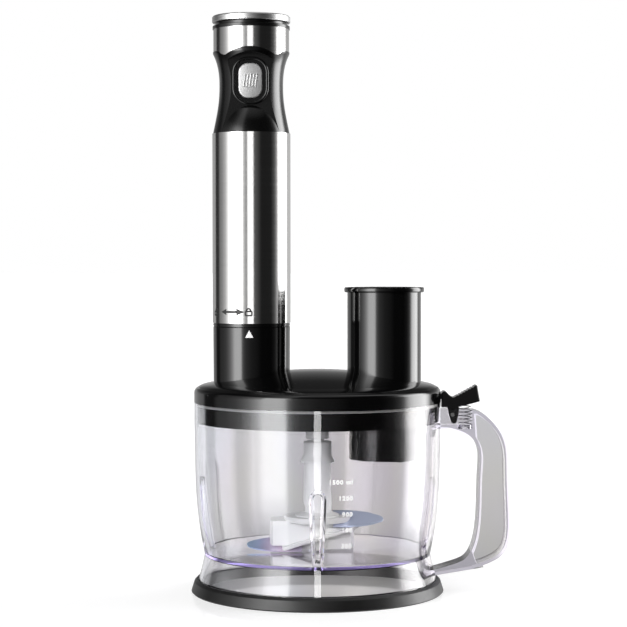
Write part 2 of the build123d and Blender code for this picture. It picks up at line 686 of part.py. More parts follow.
def make_grip_shell(zone):
    grip = grip_outside() - panel_cut()
    hollow = turned_outline((0, 344), (26.4, 344), (26.4, 350.0), (22.4, 371.0), (21.8, 384.0),
                            (21.8, 396.0), (24.6, 408.0), (26.0, 413.0), (26.0, 432), (0, 432),
                            x=MOTOR_X)
    hollow -= block(MOTOR_X - 30, MOTOR_X + 30, -40, PANEL_Y + 2.4, 340, 416)
    grip -= hollow
    rim_zone = zone & tube(40, BAND_BORE_R, 400, 431.4, MOTOR_X)
    grip -= rim_zone
    return grip - button_outline(BEZEL_GROW - 2.0, PANEL_Y - 10, PANEL_Y + 6)


def make_button_bezel():
    """Oblong frame set in the grip: a round-topped rim with a dish down to the button."""
    frame = button_outline(BEZEL_GROW, PANEL_Y - 2.4, PANEL_Y)
    frame += button_outline(BEZEL_GROW - 2.0, PANEL_Y - 0.5, PANEL_Y + 3.4)
    frame -= button_outline(BEZEL_GROW - 4.6, PANEL_Y - 3, PANEL_Y - 0.8)
    front = frame.faces().sort_by(Axis.Y)[0]
    frame = fillet(front.edges(), 1.0)
    return frame - button_outline(0.5, PANEL_Y - 5, PANEL_Y + 8)


def make_power_button():
    """Domed button with slanted ridges, a foot behind the bezel and a stem to the switch."""
    front_y, back_y, dome_r = PANEL_Y - 3.4, PANEL_Y + 5.5, 62.0
    button = button_outline(0.0, front_y, back_y)
    button &= Pos(MOTOR_X, front_y + dome_r, BUTTON_Z) * Sphere(dome_r)
    rim = button.faces().sort_by(Axis.Y)[0].edges()
    button = fillet(rim, 1.3)
    slant, pitch, ridge_length, ridge_r = 8, 2.2, 9.6, 0.55
    for step in range(-2, 3):
        ridge = Pos(MOTOR_X + pitch * step, front_y + 0.15, BUTTON_Z) * Rot(0, slant, 0)
        button += ridge * Cylinder(ridge_r, ridge_length)
    foot = button_outline(3.0, back_y - 1.6, back_y)
    stem = Pos(MOTOR_X, back_y + 3, BUTTON_Z) * Rot(90, 0, 0) * Cylinder(2.0, 6.4)
    return button + foot + stem


def make_top_cap():
    cap = turned_outline((8.9, 426.6), (25.9, 426.6), (25.9, 431.4), (29.6, 431.4), (29.6, 433.7),
                         (29.3, 434.0), (26.9, 434.0), (26.9, 436.2), (8.9, 436.2), x=MOTOR_X)
    cap = cap + rod(8.9, 426.6, 441.4, MOTOR_X) - rod(6.0, 420, 445, MOTOR_X)
    return cap - sector(16.6, 19.4, -216, 40, 420, 440, MOTOR_X)


def make_speed_dial():
    dial = turned_outline((8.9 + RUN, 436.5), (29.5, 436.5), (29.9, 436.9), (29.9, 440.6),
                          (29.0, 441.5), (26.5, 441.8), (8.9 + RUN, 441.8), x=MOTOR_X)
    pin_x, pin_y = polar(18.0, -208, MOTOR_X)
    dial += rod(1.1, 426.9, 437, pin_x, pin_y)
    return dial


def make_cord_gland():
    return turned_outline((3.5, 428.0), (6.0, 428.0), (6.0, 441.4), (8.6, 441.4), (8.6, 442.0),
                          (7.9, 442.5), (3.5, 442.5), x=MOTOR_X)


# ---------------------------------------------------------------- motor unit, inside
def make_chassis(side):
    half = tube(29.1, 27.2, 213.4, 344.6, MOTOR_X)
    y0, y1 = (-40, -0.1) if side < 0 else (0.1, 40)
    half &= block(MOTOR_X - 40, MOTOR_X + 40, y0, y1, 200, 400)
    for level in (230.0, 241.0):
        for window in range(-2, 3):
            angle = 90 * side + 28 * window
            half -= sector(26, 31, angle - 8, angle + 8, level, level + 6, MOTOR_X)
    return half


def bracket_arms(radius, z0, z1):
    return block(MOTOR_X - radius, MOTOR_X + radius, -5, 5, z0, z1) + block(
        MOTOR_X - 5, MOTOR_X + 5, -radius, radius, z0, z1)


SCREW_R = 24.1


def make_bearing_bracket(z0, z1, pocket_z0, pocket_z1):
    """Cross with a rim that centres a ball bearing in the chassis."""
    bracket = tube(27.0, 25.0, z0, z1, MOTOR_X) + (bracket_arms(26, z0, z1))
    bracket &= rod(27.0, z0, z1, MOTOR_X)
    low, high = min(z0, pocket_z0 - 1), max(z1, pocket_z1)
    bracket += rod(10.0, low, high, MOTOR_X)
    bracket -= rod(8.0, pocket_z0, pocket_z1, MOTOR_X)
    bracket -= rod(5.0, 150, 400, MOTOR_X)
    for angle in (90, 270):
        x, y = polar(SCREW_R, angle, MOTOR_X)
        bracket -= rod(1.6, 150, 400, x, y)
    return bracket


def make_bearing(z0, z1):
    """Sealed ball bearing, 5 x 16 x 5."""
    outer = tube(8.0, 6.6, z0, z1, MOTOR_X)
    inner = tube(3.8, 2.5 + RUN, z0, z1, MOTOR_X)
    shield = tube(6.6, 3.8, z0 + 0.4, z1 - 0.4, MOTOR_X)
    return outer + inner + shield


STACK_Z0, STACK_Z1 = 262.0, 304.0


def make_stator_core():
    core = rod(26.9, STACK_Z0, STACK_Z1, MOTOR_X) & block(MOTOR_X - 25, MOTOR_X + 25, -27, 27, 200, 400)
    core -= rod(14.6, 200, 400, MOTOR_X)
    for angle in (90, 270):
        core -= sector(14.0, 21.8, angle - 36, angle + 36, 200, 400, MOTOR_X)
        x, y = polar(SCREW_R, angle, MOTOR_X)
        core -= rod(1.6, 200, 400, x, y)
    return core


def make_field_coils():
    coils = []
    for angle in (0, 180):
        loop = sector(16.0, 21.4, angle - 86, angle + 86, STACK_Z0 - 7, STACK_Z1 + 7, MOTOR_X)
        loop -= sector(13.0, 25.0, angle - 55, angle + 55, STACK_Z0 - 0.3, STACK_Z1 + 0.3, MOTOR_X)
        coils.append(loop)
    return coils


def make_motor_screws():
    return [screw(*polar(SCREW_R, angle, MOTOR_X), 226.0, 112.0, 1.6) for angle in (90, 270)]


def make_armature_core():
    core = rod(13.9, STACK_Z0, STACK_Z1, MOTOR_X) - rod(2.5, 200, 400, MOTOR_X)
    for slot in range(12):
        core -= sector(7.5, 12.4, 30 * slot - 8, 30 * slot + 8, 200, 400, MOTOR_X)
        core -= sector(12.0, 15.0, 30 * slot - 3, 30 * slot + 3, 200, 400, MOTOR_X)
    return core


def make_armature_windings():
    ends = []
    for z0, z1 in ((252.0, STACK_Z0), (STACK_Z1, 315.0)):
        ring = turned_outline((6.0, z0), (11.0, z0), (12.6, z0 + 2), (12.6, z1 - 2), (12.0, z1),
                              (6.0, z1), x=MOTOR_X)
        for notch in range(24):
            ring -= sector(12.0, 13.5, 15 * notch - 1, 15 * notch + 1, z0 - 1, z1 + 1, MOTOR_X)
        ends.append(ring)
    return ends


def make_commutator():
    bars = rod(10.0, 317.0, 331.0, MOTOR_X) + rod(11.2, 315.4, 317.4, MOTOR_X)
    for bar in range(20):
        bars -= sector(9.2, 12.0, 18 * bar - 1.2, 18 * bar + 1.2, 310, 340, MOTOR_X)
    return bars - rod(2.5, 200, 400, MOTOR_X)


def make_cooling_fan():
    fan = rod(6.0, 237.0, 248.0, MOTOR_X) + rod(22.2, 237.0, 238.4, MOTOR_X)
    for vane in range(11):
        plate = block(5.5, 21.8, -0.6, 0.6, 238, 247)
        fan += Pos(MOTOR_X, 0, 0) * Rot(0, 0, 360 / 11 * vane) * plate
    return fan - rod(2.5, 200, 400, MOTOR_X)


def make_drive_dog():
    """Moulded dog on the rotor; its lugs stand midway between those of the lid's input shaft."""
    dog = rod(8.6, 186.2, 198.0, MOTOR_X) - rod(2.5, 187.4, 200, MOTOR_X)
    for lug in range(3):
        middle = 120 * lug + 30
        dog += sector(4.5, 9.5, middle - 10, middle + 10, 180.2, 187.4, MOTOR_X)
    return dog


def make_brush_gear():
    holders, brushes = [], []
    for side in (-1, 1):
        x0, x1 = sorted((MOTOR_X + side * 12.0, MOTOR_X + side * 26.0))
        holder = block(x0, x1, -4.5, 4.5, 320.0, 329.0)
        cut = block(min(x0, x1) - 1, max(x0, x1) + 1, -3.2, 3.2, 321.4, 327.6)
        holders.append(holder - cut)
        b0, b1 = sorted((MOTOR_X + side * 10.1, MOTOR_X + side * 21.0))
        brushes.append(block(b0, b1, -3.1, 3.1, 321.5, 327.5))
    return holders, brushes


def make_circuit_board():
    board = block(MOTOR_X - 15, MOTOR_X + 15, 6.0, 7.6, 362.0, 421.0)
    triac = block(MOTOR_X - 5, MOTOR_X + 5, 7.6, 12.0, 398, 413)
    choke = Pos(MOTOR_X - 5, 12.4, 384) * Rot(90, 0, 0) * Cylinder(5.5, 9.6)
    capacitor = block(MOTOR_X + 3, MOTOR_X + 13, 7.6, 15.0, 372, 388)
    terminals = block(MOTOR_X - 13, MOTOR_X - 3, 1.0, 6.0, 410, 418)
    return board + triac + choke + capacitor + terminals


def make_microswitch():
    body = block(MOTOR_X - 10, MOTOR_X + 10, -3.4, 3.2, 384.0, 398.0)
    legs = [block(MOTOR_X + x - 0.4, MOTOR_X + x + 0.4, 3.0, 5.9, 388, 394) for x in (-8, 0, 8)]
    for leg in legs:
        body += leg
    return body + Pos(MOTOR_X, -3.8, BUTTON_Z) * Rot(90, 0, 0) * Cylinder(1.2, 1.0)


def make_button_spring():
    """Return spring behind the power button, round its stem."""
    wire, coil_r, y0, y1, turns = 0.3, 3.1, -10.8, -4.0, 4.5
    height = y1 - y0 - 2 * wire
    path = Helix(pitch=height / turns, height=height, radius=coil_r)
    section = Plane(origin=path @ 0, z_dir=path % 0) * Circle(wire)
    coil = sweep(section, path, is_frenet=True)
    return Pos(MOTOR_X, y0 + wire, BUTTON_Z) * Rot(-90, 0, 0) * coil


def make_dial_potentiometer():
    ring = tube(23.0, 12.5, 422.4, 425.4, MOTOR_X)
    return ring - tube(19.6, 16.4, 424.4, 426, MOTOR_X)


def make_all():
    save("bowl", make_bowl())
    save("bowl_handle", make_handle())
    save("base_ring", make_base_ring())
    save("spindle_pin", rod(3.0, FLOOR_BOTTOM - 0.8, 97.6))
    save("latch_pin", make_latch_pin())
    save("latch_spring", make_latch_spring())
    save("latch_lever", make_latch_lever())

    blades = [make_upper_blade(), make_lower_blade()]
    save("upper_blade", blades[0])
    save("lower_blade", blades[1])
    save("blade_tower", make_blade_tower(blades))
    save("blade_bush", tube(5.0, 3.0 + RUN, 33.4, 46.0))

    save("lid_shell", make_lid_shell())
    save("coupling_collar", make_coupling_collar())
    save("lid_gasket", make_lid_gasket())
    save("gear_cover", make_gear_cover())
    save("gear_cover_screws", *[screw(x, y, 131.2, 11.0, 1.25) for x, y in SCREW_SPOTS])
    save("idler_axle", rod(3.0, 132.4, 163.0, GEAR_X, GEAR_Y))
    save("input_bush", tube(8.0, 4.0 + RUN, 158.0, 172.0, MOTOR_X))
    save("output_bush", tube(7.0, 4.0 + RUN, 131.2, 136.6))
    pinion, idler, output = make_gears()
    save("input_shaft", make_input_shaft())
    save("input_pinion", pinion)
    save("idler_gear", idler)
    save("output_gear", output)
    save("output_shaft", make_output_shaft())
    save("pusher", make_pusher())

    zone = band_zone()
    save("bayonet_nose", make_bayonet_nose())
    save("trim_ring", make_trim_ring())
    save("barrel_sleeve", make_barrel_sleeve())
    save("upper_band", make_upper_band(zone))
    save("grip_shell", make_grip_shell(zone))
    save("button_bezel", make_button_bezel())
    save("power_button", make_power_button())
    save("top_cap", make_top_cap())
    save("speed_dial", make_speed_dial())
    save("cord_gland", make_cord_gland())

    save("chassis_front", make_chassis(-1))
    save("chassis_rear", make_chassis(1))
    save("lower_bracket", make_bearing_bracket(226.0, 229.0, 222.0, 227.0))
    save("upper_bracket", make_bearing_bracket(335.0, 338.0, 335.0, 340.0))
    save("lower_bearing", make_bearing(222.0, 227.0))
    save("upper_bearing", make_bearing(335.0, 340.0))
    save("stator_core", make_stator_core())
    save("field_coils", *make_field_coils())
    save("motor_screws", *make_motor_screws())
    holders, brushes = make_brush_gear()
    save("brush_holders", *holders)
    save("carbon_brushes", *brushes)
    save("rotor_shaft", rod(2.5, 187.4, 344.0, MOTOR_X))
    save("armature_core", make_armature_core())
    save("armature_windings", *make_armature_windings())
    save("commutator", make_commutator())
    save("cooling_fan", make_cooling_fan())
    save("drive_dog", make_drive_dog())
    save("circuit_board", make_circuit_board())
    save("microswitch", make_microswitch())
    save("button_spring", make_button_spring())
    save("dial_potentiometer", make_dial_potentiometer())


make_all()
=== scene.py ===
"""Looks of an immersion blender standing in its food-processor bowl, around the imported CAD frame."""
from math import cos, pi, radians, sin

import bmesh
import bpy
from mathutils import Matrix, Vector
from mathutils.bvhtree import BVHTree


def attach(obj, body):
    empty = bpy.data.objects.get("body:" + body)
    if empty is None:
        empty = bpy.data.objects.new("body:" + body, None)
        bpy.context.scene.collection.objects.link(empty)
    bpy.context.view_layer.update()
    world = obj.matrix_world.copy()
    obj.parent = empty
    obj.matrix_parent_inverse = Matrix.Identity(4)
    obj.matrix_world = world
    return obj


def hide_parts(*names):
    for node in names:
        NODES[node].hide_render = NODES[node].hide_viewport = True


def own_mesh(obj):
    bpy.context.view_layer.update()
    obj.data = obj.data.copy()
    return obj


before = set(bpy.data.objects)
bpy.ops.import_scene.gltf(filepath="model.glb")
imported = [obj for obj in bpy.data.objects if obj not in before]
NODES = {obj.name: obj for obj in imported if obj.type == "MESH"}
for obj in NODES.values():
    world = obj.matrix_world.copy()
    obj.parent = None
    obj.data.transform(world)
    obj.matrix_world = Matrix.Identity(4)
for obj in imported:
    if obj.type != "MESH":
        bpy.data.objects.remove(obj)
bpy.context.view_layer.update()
MM = 0.001
MOTOR_X = -50.5           # axis of the motor unit, in millimetres
BLADE_REACH = 0.056       # blade tips' distance from the bowl's axis, in metres


# ---------------------------------------------------------------- shader helpers
class Graph:
    """Node tree of one material or world, with short ways to add nodes and feed sockets."""

    def __init__(self, owner):
        owner.use_nodes = True
        self.owner = owner
        self.tree = owner.node_tree
        self.shader = self.tree.nodes.get("Principled BSDF")
        self.output = next(n for n in self.tree.nodes if "Output" in n.bl_idname)

    def feed(self, node, key, value):
        socket = node.inputs[key]
        if isinstance(value, bpy.types.Node):
            value = value.outputs[0]
        if isinstance(value, bpy.types.NodeSocket):
            self.tree.links.new(value, socket)
        else:
            socket.default_value = value

    def node(self, kind, inputs=None, **settings):
        made = self.tree.nodes.new("ShaderNode" + kind)
        for key, value in settings.items():
            setattr(made, key, value)
        for key, value in (inputs or {}).items():
            self.feed(made, key, value)
        return made

    def surface(self, **values):
        """Set sockets of the Principled shader; an underscore stands for a space."""
        for key, value in values.items():
            self.feed(self.shader, key.replace("_", " ").title().replace("Ior", "IOR"), value)

    def place(self, stretch=(1, 1, 1)):
        """Object coordinates in metres, multiplied axis by axis."""
        coords = self.node("TexCoord").outputs["Object"]
        return self.node("VectorMath", {0: coords, 1: stretch}, operation="MULTIPLY")

    def noise(self, scale, stretch=(1, 1, 1), detail=3.0, roughness=0.55):
        return self.node("TexNoise", {"Vector": self.place(stretch), "Scale": scale,
                                      "Detail": detail, "Roughness": roughness})

    def spread(self, value, low, high, start=0.3, end=0.7):
        """Remap a 0-1 pattern to a range."""
        return self.node("MapRange", {"Value": value, "From Min": start, "From Max": end,
                                      "To Min": low, "To Max": high})

    def blend(self, share, first, second):
        mix = self.node("Mix", data_type="RGBA")
        for key, value in ((0, share), (6, first), (7, second)):
            self.feed(mix, key, value)
        return mix.outputs[2]

    def bump(self, height, strength, distance):
        made = self.node("Bump", {"Height": height, "Strength": strength, "Distance": distance})
        self.feed(self.shader, "Normal", made)

    def math(self, operation, *values):
        made = self.node("Math", operation=operation)
        for index, value in enumerate(values):
            self.feed(made, index, value)
        return made


def new_graph(name):
    return Graph(bpy.data.materials.new(name))


def rgb(red, green, blue):
    return (red, green, blue, 1.0)


def set_stops(ramp, stops):
    """Replace a colour ramp's stops; each is a place and a colour or a grey."""
    while len(ramp.elements) > 1:
        ramp.elements.remove(ramp.elements[-1])
    for index, (place, colour) in enumerate(stops):
        element = ramp.elements[0] if index == 0 else ramp.elements.new(place)
        element.position = place
        grey = not isinstance(colour, tuple)
        element.color = rgb(colour, colour, colour) if grey else rgb(*colour)


# ---------------------------------------------------------------- materials
def moulded(name, dark, light, smooth, rough, grain=900.0, depth=0.00002):
    """Injection-moulded plastic: cloudy tone and gloss, with a fine grain."""
    g = new_graph(name)
    clouds = g.noise(35.0, detail=4.0)
    g.surface(base_color=g.blend(clouds, rgb(*dark), rgb(*light)),
              roughness=g.spread(clouds, smooth, rough), ior=1.5)
    g.bump(g.noise(grain, detail=2.0), 0.25, depth)
    return g


def clear_plastic():
    """Clear SAN with a violet cast that grows with the length of plastic looked through."""
    g = new_graph("clear_plastic")
    wear = g.noise(60.0, detail=5.0)
    # weak tints where the moulding is under stress
    stress = g.node("ValToRGB", {"Fac": g.noise(9.0, stretch=(1, 1, 0.45), detail=1.5)})
    set_stops(stress.color_ramp, [(0.3, (0.965, 0.955, 0.975)), (0.42, (0.95, 0.97, 0.985)),
                                  (0.5, (0.965, 0.955, 0.975)), (0.58, (0.985, 0.972, 0.94)),
                                  (0.66, (0.975, 0.945, 0.975))])
    g.surface(base_color=stress, roughness=g.spread(wear, 0.0, 0.012),
              transmission_weight=1.0, ior=1.5)
    g.bump(g.noise(14.0, stretch=(1, 1, 0.3), detail=1.0), 0.05, 0.0002)
    lit = g.node("LightPath").outputs["Is Shadow Ray"]
    open_way = g.node("BsdfTransparent", {"Color": rgb(0.97, 0.97, 0.975)})
    both = g.node("MixShader", {0: lit, 1: g.shader, 2: open_way})
    g.feed(g.output, "Surface", both)
    tint = g.node("VolumeAbsorption", {"Color": rgb(0.80, 0.76, 0.92), "Density": 30.0})
    g.feed(g.output, "Volume", tint)
    return g


def black_gloss():
    return moulded("black_gloss", (0.0015, 0.0015, 0.0016), (0.003, 0.003, 0.0032), 0.07, 0.13,
                   grain=500.0, depth=0.00001)


def black_satin():
    return moulded("black_satin", (0.002, 0.002, 0.002), (0.005, 0.005, 0.0052), 0.15, 0.22,
                   grain=2500.0, depth=0.00002)


def black_rubber():
    return moulded("black_rubber", (0.006, 0.006, 0.006), (0.012, 0.012, 0.012), 0.34, 0.46,
                   grain=2200.0, depth=0.00004)


def brushed_steel():
    """Steel with fine brush lines round the barrel."""
    g = new_graph("brushed_steel")
    lines = g.noise(1.0, stretch=(25, 25, 9000), detail=4.0, roughness=0.7)
    bands = g.noise(1.0, stretch=(12, 12, 900), detail=2.0)
    g.surface(base_color=g.blend(lines, rgb(0.46, 0.455, 0.45), rgb(0.66, 0.655, 0.65)),
              metallic=1.0, roughness=g.spread(bands, 0.13, 0.22), anisotropic=0.8,
              anisotropic_rotation=0.25)
    g.feed(g.shader, "Tangent", g.node("Tangent", direction_type="RADIAL", axis="Z"))
    g.bump(lines, 0.12, 0.00002)
    return g


def plain_metal(name, dark, light, smooth, rough):
    g = new_graph(name)
    clouds = g.noise(120.0, detail=5.0)
    g.surface(base_color=g.blend(clouds, rgb(*dark), rgb(*light)), metallic=1.0,
              roughness=g.spread(clouds, smooth, rough))
    g.bump(g.noise(1500.0, detail=2.0), 0.1, 0.00001)
    return g


def blade_steel():
    """Polished blade steel with painted reflections: blue and violet colours, set by position along
    the blade, stand in for the surroundings it mirrors.
    """
    g = new_graph("blade_steel")
    across = g.node("SeparateXYZ", {0: g.node("TexCoord").outputs["Object"]})
    wander = g.spread(g.noise(40.0, detail=1.0), -0.006, 0.006, 0.0, 1.0)
    place = g.math("ADD", across, wander)
    along = g.node("MapRange", {"Value": place, "From Min": -BLADE_REACH, "From Max": BLADE_REACH})
    tint = g.node("ValToRGB", {"Fac": along})
    # painted reflection: colours of the mirrored surroundings, laid along the blade by position
    painted_reflection_colours = [(0.0, (0.50, 0.74, 1.0)), (0.10, (0.50, 0.62, 0.98)), (0.16, (0.52, 0.43, 0.72)),
               (0.24, (0.54, 0.38, 0.58)), (0.34, (0.64, 0.54, 0.72)), (0.7, (0.68, 0.76, 0.96)),
               (0.86, (0.72, 0.82, 1.0)), (1.0, (0.74, 0.84, 1.0))]
    set_stops(tint.color_ramp, painted_reflection_colours)
    scratches = g.noise(1.0, stretch=(2500, 60, 60), detail=3.0)
    g.surface(base_color=tint, metallic=0.2, roughness=g.spread(scratches, 0.12, 0.2))
    g.bump(scratches, 0.06, 0.00001)
    return g


def satin_steel():
    """Steel of the dial, spun to a satin finish."""
    g = new_graph("satin_steel")
    lines = g.noise(1.0, stretch=(30, 30, 5000), detail=4.0, roughness=0.7)
    g.surface(base_color=g.blend(lines, rgb(0.44, 0.44, 0.44), rgb(0.72, 0.72, 0.72)),
              metallic=1.0, roughness=g.spread(lines, 0.3, 0.42))
    g.bump(lines, 0.2, 0.00002)
    return g


def silver_plastic():
    """Metallised button, satin, slightly brighter than steel."""
    g = new_graph("silver_plastic")
    clouds = g.noise(220.0, detail=4.0)
    g.surface(base_color=g.blend(clouds, rgb(0.58, 0.58, 0.58), rgb(0.66, 0.66, 0.66)),
              metallic=0.7, roughness=g.spread(clouds, 0.44, 0.52))
    g.bump(g.noise(2500.0, detail=2.0), 0.2, 0.00002)
    return g


def white_plastic():
    """Milky polypropylene that lets some light in."""
    g = new_graph("white_plastic")
    clouds = g.noise(40.0, detail=4.0)
    g.surface(base_color=g.blend(clouds, rgb(0.88, 0.885, 0.88), rgb(0.94, 0.945, 0.94)),
              roughness=g.spread(clouds, 0.32, 0.45), subsurface_weight=0.6,
              subsurface_radius=(1.0, 1.0, 1.0), subsurface_scale=0.006, ior=1.49)
    g.bump(g.noise(1200.0, detail=2.0), 0.15, 0.00002)
    return g


def wound_copper():
    """Enamelled wire, its turns drawn as waves."""
    g = new_graph("copper")
    turns = g.node("TexWave", {"Vector": g.place(), "Scale": 420.0, "Distortion": 1.5},
                   bands_direction="Z")
    g.surface(base_color=g.blend(turns.outputs["Fac"], rgb(0.32, 0.10, 0.03),
                                 rgb(0.72, 0.30, 0.12)), metallic=0.8,
              roughness=g.spread(turns.outputs["Fac"], 0.45, 0.28, 0.0, 1.0))
    g.bump(turns.outputs["Fac"], 0.5, 0.0002)
    return g


def laminations():
    """Stack of thin steel sheets."""
    g = new_graph("lamination")
    sheets = g.node("TexWave", {"Vector": g.place(), "Scale": 320.0, "Distortion": 0.2},
                    bands_direction="Z")
    g.surface(base_color=g.blend(sheets.outputs["Fac"], rgb(0.10, 0.10, 0.11),
                                 rgb(0.34, 0.34, 0.35)), metallic=0.9,
              roughness=g.spread(sheets.outputs["Fac"], 0.55, 0.38, 0.0, 1.0))
    g.bump(sheets.outputs["Fac"], 0.4, 0.0001)
    return g


MAKERS = {
    "clear_plastic": clear_plastic,
    "black_gloss": black_gloss,
    "black_satin": black_satin,
    "black_rubber": black_rubber,
    "brushed_steel": brushed_steel,
    "satin_steel": satin_steel,
    "blade_steel": blade_steel,
    "silver_plastic": silver_plastic,
    "white_plastic": white_plastic,
    "copper": wound_copper,
    "lamination": laminations,
    "steel": lambda: plain_metal("steel", (0.50, 0.50, 0.50), (0.66, 0.66, 0.66), 0.12, 0.24),
    "bronze": lambda: plain_metal("bronze", (0.40, 0.24, 0.11), (0.55, 0.36, 0.18), 0.38, 0.5),
    "brass": lambda: plain_metal("brass", (0.66, 0.50, 0.22), (0.80, 0.63, 0.32), 0.18, 0.3),
    "gear_nylon": lambda: moulded("gear_nylon", (0.74, 0.72, 0.64), (0.84, 0.82, 0.75), 0.38, 0.5),
    "carbon": lambda: moulded("carbon", (0.02, 0.02, 0.02), (0.06, 0.06, 0.06), 0.5, 0.65),
    "frame_plastic": lambda: moulded("frame_plastic", (0.05, 0.05, 0.05), (0.1, 0.1, 0.1), 0.45, 0.6),
    "board": lambda: moulded("board", (0.015, 0.12, 0.05), (0.03, 0.2, 0.09), 0.3, 0.42),
    "silicone": lambda: moulded("silicone", (0.68, 0.68, 0.67), (0.78, 0.78, 0.77), 0.45, 0.6),
}
MATERIALS = {name: make().owner for name, make in MAKERS.items()}

for node in NODES.values():
    for slot in node.material_slots:
        slot.material = MATERIALS[slot.material.name.split(".")[0]]


# ---------------------------------------------------------------- studio
STUDIO_BRIGHTNESS = 10.0
REAR_FROM, REAR_FULL = radians(126), radians(134)    # azimuths where the rear begins
SIDE_LOSS, REAR_LOSS = 0.6, 0.21    # share of light lost on its way through clear plastic
MIRROR_GAIN = 1.5                   # what the rear gains when the clear plastic mirrors it once
SKY = 0.06                          # brightness straight above
FLOOR_LIFT, FLOOR_LIFT_THROUGH = 0.61, 0.17    # floor's glow, seen directly and through plastic
FLOOR_SHEEN = 0.45
FLOOR_RADIUS = 30.0
CAMERA_PLACE, CAMERA_LENS = (-0.0029, -1.4707, 0.2570), 109.7


def lights_round():
    """Brightness of the surroundings by azimuth in degrees: 0 is the camera's side, 90 is +X."""
    return [(-180, 0.055), (-132, 0.05), (-128, 0.005), (-112, 0.005), (-106, 0.028), (-94, 0.042),
            (-81, 0.08), (-73, 0.15), (-66, 0.26), (-58, 0.5), (-50, 0.9), (-36, 0.95), (-30, 0.85),
            (-27, 0.25), (-22, 0.1), (-15, 0.05), (0, 0.022), (16, 0.012), (30, 0.002), (62, 0.002),
            (74, 0.012), (82, 0.05), (87, 0.14), (91, 0.5), (95, 0.8), (101, 0.96), (118, 0.9),
            (124, 0.5), (130, 0.09), (180, 0.055)]


def make_world():
    """White to the camera; to the object, two tall softboxes with dark flags between them."""
    world = bpy.data.worlds.new("studio")
    bpy.context.scene.world = world
    g = Graph(world)
    backdrop = g.tree.nodes["Background"]
    way = g.node("SeparateXYZ", {0: g.node("TexCoord").outputs["Generated"]})
    x, y, z = way.outputs
    azimuth = g.math("ARCTAN2", x, g.math("MULTIPLY", y, -1.0))
    share = g.node("MapRange", {"Value": azimuth, "From Min": -pi, "From Max": pi})
    around = g.node("ValToRGB", {"Fac": share})
    set_stops(around.color_ramp, [((a + 180) / 360, v) for a, v in lights_round()])
    front = g.node("ValToRGB", {"Fac": g.node("MapRange", {"Value": z, "From Min": -1.0})})
    set_stops(front.color_ramp, [(0.0, 0.25), (0.33, 0.3), (0.4, 1.0), (0.69, 1.0), (0.82, 0.12),
                                 (1.0, 0.08)])
    rear = g.node("ValToRGB", {"Fac": g.node("MapRange", {"Value": z, "From Min": -1.0})})
    set_stops(rear.color_ramp, [(0.0, 1.0), (0.53, 1.0), (0.6, 0.4), (0.7, 0.1), (1.0, 0.08)])
    behind = g.node("MapRange", {"Value": g.math("ABSOLUTE", azimuth), "From Min": REAR_FROM,
                                 "From Max": REAR_FULL})
    height = g.blend(behind, front, rear)
    through = g.node("LightPath").outputs["Is Transmission Ray"]
    mirrored = g.math("COMPARE", g.node("LightPath").outputs["Glossy Depth"], 1.0, 0.5)
    loss = g.node("MapRange", {"Value": behind, "To Min": SIDE_LOSS, "To Max": REAR_LOSS})
    gain = g.math("MULTIPLY", g.math("MULTIPLY", behind, mirrored), MIRROR_GAIN)
    change = g.math("MULTIPLY", through, g.math("SUBTRACT", gain, loss))
    dimmed = g.math("ADD", 1.0, change)
    level = g.math("MULTIPLY", g.math("MULTIPLY", around, height), dimmed)
    top = g.node("MapRange", {"Value": z, "From Min": 0.8, "From Max": 1.0, "To Max": SKY})
    seen = g.math("MULTIPLY", g.math("ADD", level, top), STUDIO_BRIGHTNESS)
    studio = g.node("Background", {"Color": g.node("CombineXYZ", {0: seen, 1: seen, 2: seen}),
                                   "Strength": 1.0})
    backdrop.inputs["Color"].default_value = rgb(1, 1, 1)
    backdrop.inputs["Strength"].default_value = 1.0
    camera_ray = g.node("LightPath").outputs["Is Camera Ray"]
    g.feed(g.output, "Surface", g.node("MixShader", {0: camera_ray, 1: studio, 2: backdrop}))


def make_floor():
    """Plain white floor that the object's own mirror-like parts don't show."""
    mesh = bpy.data.meshes.new("floor")
    shape = bmesh.new()
    bmesh.ops.create_circle(shape, cap_ends=True, segments=96, radius=FLOOR_RADIUS)
    shape.to_mesh(mesh)
    shape.free()
    floor = bpy.data.objects.new("floor", mesh)
    bpy.context.scene.collection.objects.link(floor)
    floor.visible_glossy = False
    g = new_graph("white_floor")
    camera_ray = g.node("LightPath").outputs["Is Camera Ray"]
    tone = g.blend(camera_ray, rgb(0.5, 0.5, 0.5), rgb(0.9, 0.9, 0.9))
    matt = g.node("BsdfDiffuse", {"Color": tone})
    sheen = g.node("BsdfGlossy", {"Color": rgb(1, 1, 1), "Roughness": 0.08})
    body = g.node("MixShader", {0: FLOOR_SHEEN, 1: matt, 2: sheen})
    seen_through = g.node("LightPath").outputs["Is Transmission Ray"]
    glow = g.math("ADD", g.math("MULTIPLY", camera_ray, FLOOR_LIFT),
                  g.math("MULTIPLY", seen_through, FLOOR_LIFT_THROUGH))
    lift = g.node("Emission", {"Color": rgb(1, 1, 1), "Strength": glow})
    shown = g.node("AddShader", {0: body, 1: lift})
    mirrored = g.math("GREATER_THAN", g.node("LightPath").outputs["Glossy Depth"], 0.5)
    clear = g.node("BsdfTransparent")
    g.feed(g.output, "Surface", g.node("MixShader", {0: mirrored, 1: shown, 2: clear}))
    mesh.materials.append(g.owner)


